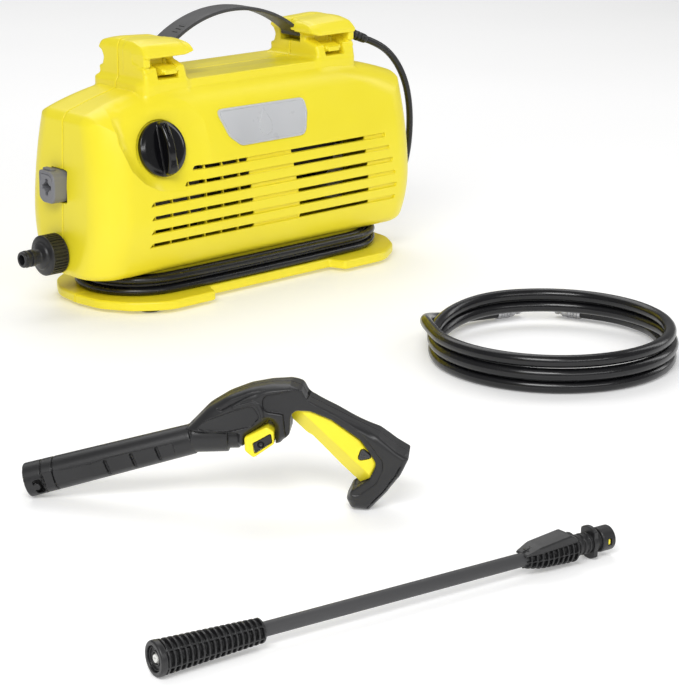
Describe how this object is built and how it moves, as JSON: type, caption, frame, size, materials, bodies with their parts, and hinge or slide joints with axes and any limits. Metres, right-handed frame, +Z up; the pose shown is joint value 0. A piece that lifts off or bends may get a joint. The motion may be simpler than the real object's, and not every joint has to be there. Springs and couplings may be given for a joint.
{
  "type": "pressure washer",
  "caption": "Compact horizontal pressure washer with carry strap and wound mains cable, laid out with its trigger gun, spray lance and coiled hose.",
  "frame": {"origin": "centre of the machine's base on the floor, under its middle foot", "axes": "+X along the machine from the water side to the mains side, -Y the front with the knob, +Z up"},
  "size_m": [0.9037, 0.9519, 0.282],
  "materials": {
    "yellow": "satin moulded plastic",
    "black": "fine grained moulded plastic",
    "black_gloss": "glossy moulded plastic",
    "dark_grey": "matt",
    "grey": "satin",
    "badge": "silver lacquer",
    "rubber": "matt",
    "cable": "satin",
    "hose": "satin",
    "steel": "machined",
    "laminations": "stacked sheet",
    "aluminium": "die cast",
    "copper": "lacquered copper",
    "brass": "turned",
    "carbon": "carbon",
    "white": "natural"
  },
  "bodies": {
    "machine": {"housing_front": "yellow", "housing_rear": "yellow", "housing_screws": "steel", "carry_strap": "dark_grey", "accessory_tongues": "yellow", "badge_plate": "badge", "rubber_feet": "rubber", "outlet_connector": "grey", "inlet_port": "black", "inlet_filter": "white", "switch_block": "black", "motor_stator": "laminations", "motor_windings": "copper", "carbon_brushes": "carbon", "brush_holders": "brass", "motor_bearings": "steel", "motor_end_shield": "black", "piston_springs": "steel", "piston_seals": "rubber", "cylinder_block": "aluminium", "valve_head": "aluminium", "pump_valves": "brass", "microswitch": "black", "gear_case": "aluminium", "capacitor": "white", "cable_gland": "rubber", "mains_cable": "cable", "cable_winding": "cable", "mains_plug": "black"},
    "release_button": {"outlet_release_button": "grey"},
    "inlet_seal": {"inlet_seal": "rubber"},
    "inlet_adapter": {"inlet_adapter": "black"},
    "knob": {"switch_knob": "black_gloss"},
    "rotor": {"motor_armature": "laminations", "commutator": "copper", "drive_pinion": "steel", "motor_fan": "black"},
    "swash_drive": {"reduction_gear": "white", "swash_plate": "steel", "thrust_bearing": "steel"},
    "piston_1": {"pump_piston_1": "steel"},
    "piston_2": {"pump_piston_2": "steel"},
    "piston_3": {"pump_piston_3": "steel"},
    "pressure_rod": {"pressure_rod": "steel"},
    "gun": {"gun_housing_left": "black", "gun_housing_right": "black", "gun_screws": "steel", "gun_valve_body": "brass", "gun_trigger_spring": "steel"},
    "trigger": {"gun_trigger": "yellow"},
    "trigger_lock": {"gun_lock": "black"},
    "hose_clip": {"gun_hose_clip": "yellow"},
    "valve_rod": {"gun_valve_rod": "steel"},
    "lance": {"lance_tube": "dark_grey", "lance_sleeve": "black", "lance_nozzle": "white", "lance_collar": "black"},
    "hose": {"hose_coil": "hose", "hose_tails": "hose", "hose_fittings": "brass"}
  },
  "joints": [
    {"name": "release_press", "type": "slide", "parent": "machine", "child": "release_button", "axis": [0, 0, -1], "range_m": [0, 0.0022], "stiffness_N_per_m": 600, "springref_m": -0.002},
    {"name": "adapter_travel", "type": "slide", "parent": "machine", "child": "inlet_seal", "axis": [-1, 0, 0], "range_m": [0, 0.0128]},
    {"name": "adapter_screw", "type": "hinge", "parent": "inlet_seal", "child": "inlet_adapter", "pos_m": [-0.232, 0.007, 0.057], "axis": [-1, 0, 0], "range_deg": [0, 2520]},
    {"name": "knob_turn", "type": "hinge", "parent": "machine", "child": "knob", "pos_m": [-0.134, -0.065, 0.162], "axis": [0, 0.9703, -0.2419], "range_deg": [0, 90]},
    {"name": "rotor_spin", "type": "hinge", "parent": "machine", "child": "rotor", "pos_m": [0, 0.007, 0.1255], "axis": [1, 0, 0], "continuous": true},
    {"name": "swash_spin", "type": "hinge", "parent": "machine", "child": "swash_drive", "pos_m": [-0.08, 0.007, 0.088], "axis": [1, 0, 0], "continuous": true},
    {"name": "piston_1_stroke", "type": "slide", "parent": "machine", "child": "piston_1", "axis": [-1, 0, 0], "range_m": [0, 0.006], "stiffness_N_per_m": 1200, "springref_m": -0.004},
    {"name": "piston_2_stroke", "type": "slide", "parent": "machine", "child": "piston_2", "axis": [-1, 0, 0], "range_m": [0, 0.006], "stiffness_N_per_m": 1200, "springref_m": -0.004},
    {"name": "piston_3_stroke", "type": "slide", "parent": "machine", "child": "piston_3", "axis": [-1, 0, 0], "range_m": [0, 0.006], "stiffness_N_per_m": 1200, "springref_m": -0.004},
    {"name": "pressure_rod_rise", "type": "slide", "parent": "machine", "child": "pressure_rod", "axis": [0, 0, 1], "range_m": [0, 0.002], "stiffness_N_per_m": 800, "springref_m": -0.001},
    {"name": "gun_lift", "type": "slide", "parent": "machine", "child": "gun", "axis": [0, 0, 1], "range_m": [0, 0.3]},
    {"name": "trigger_pull", "type": "hinge", "parent": "gun", "child": "trigger", "pos_m": [-0.38755, -0.55746, 0.084], "axis": [-0.7314, -0.682, 0], "range_deg": [0, 6], "stiffness_Nm_per_rad": 4, "springref_deg": -4.58},
    {"name": "lock_push", "type": "slide", "parent": "trigger", "child": "trigger_lock", "axis": [0.7314, 0.682, 0], "range_m": [0, 0.003]},
    {"name": "clip_push", "type": "slide", "parent": "gun", "child": "hose_clip", "axis": [0.7314, 0.682, 0], "range_m": [0, 0.004], "stiffness_N_per_m": 600, "springref_m": -0.002},
    {"name": "valve_rod_press", "type": "slide", "parent": "gun", "child": "valve_rod", "axis": [0, 0, -1], "range_m": [0, 0.002]},
    {"name": "lance_lift", "type": "slide", "parent": "machine", "child": "lance", "axis": [0, 0, 1], "range_m": [0, 0.3]},
    {"name": "hose_lift", "type": "slide", "parent": "machine", "child": "hose", "axis": [0, 0, 1], "range_m": [0, 0.3]}
  ],
  "couplings": [
    {"joint": "adapter_travel", "follows": "adapter_screw", "m_per_rad": 0.00028871},
    {"joint": "swash_spin", "follows": "rotor_spin", "ratio": -0.25},
    {"joint": "valve_rod_press", "follows": "trigger_pull", "m_per_rad": 0.0175}
  ]
}
